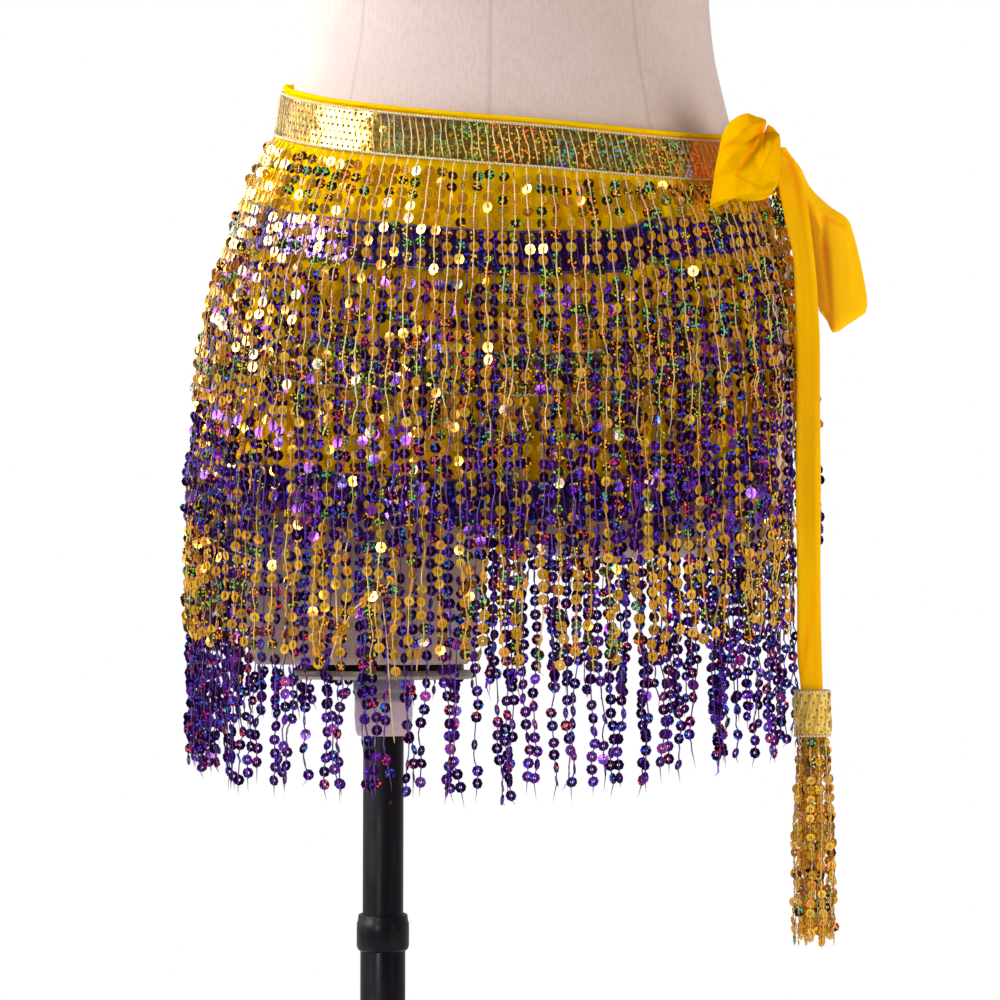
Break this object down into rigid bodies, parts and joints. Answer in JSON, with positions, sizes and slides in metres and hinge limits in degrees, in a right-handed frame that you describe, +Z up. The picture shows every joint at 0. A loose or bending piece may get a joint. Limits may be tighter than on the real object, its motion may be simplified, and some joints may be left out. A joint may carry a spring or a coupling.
{
  "type": "belly dance hip scarf on a dress form and stand",
  "caption": "Cloth hip wrap with rows of sequin fringe, tied in a bow with a tasselled end, on a limbless dress form that slides up and down on a pole stand.",
  "frame": {"origin": "on the floor, on the pole's axis, at the middle of the base's underside", "axes": "+Z up, -Y the figure's front, +X the figure's left side, where the scarf is tied"},
  "size_m": [0.4465, 0.33, 1.4673],
  "materials": {
    "form_cloth": "matte",
    "black_steel": "satin",
    "plate_steel": "satin",
    "socket_plastic": "gloss",
    "yellow_cloth": "soft sheen",
    "gold_sequins": "metallised, holographic",
    "purple_sequins": "metallised, holographic"
  },
  "bodies": {
    "stand": {"base": "black_steel", "outer_pole": "black_steel", "collar": "black_steel"},
    "figure": {"inner_pole": "black_steel", "pole_socket": "socket_plastic", "stump_plate": "plate_steel", "dress_form": "form_cloth", "neck_cap": "black_steel", "wrap_panel": "yellow_cloth", "fringe_gold_waist": "gold_sequins", "fringe_purple_high": "purple_sequins", "fringe_gold_low": "gold_sequins", "fringe_purple_hem": "purple_sequins", "bow_knot": "yellow_cloth", "bow_loop_front": "yellow_cloth", "bow_loop_side": "yellow_cloth", "tie_front": "yellow_cloth", "tie_back": "yellow_cloth", "tassel_front": "gold_sequins", "tassel_back": "gold_sequins"}
  },
  "joints": [
    {"name": "height", "type": "slide", "parent": "stand", "child": "figure", "axis": [0, 0, 1], "range_m": [-0.09, 0.2]}
  ]
}
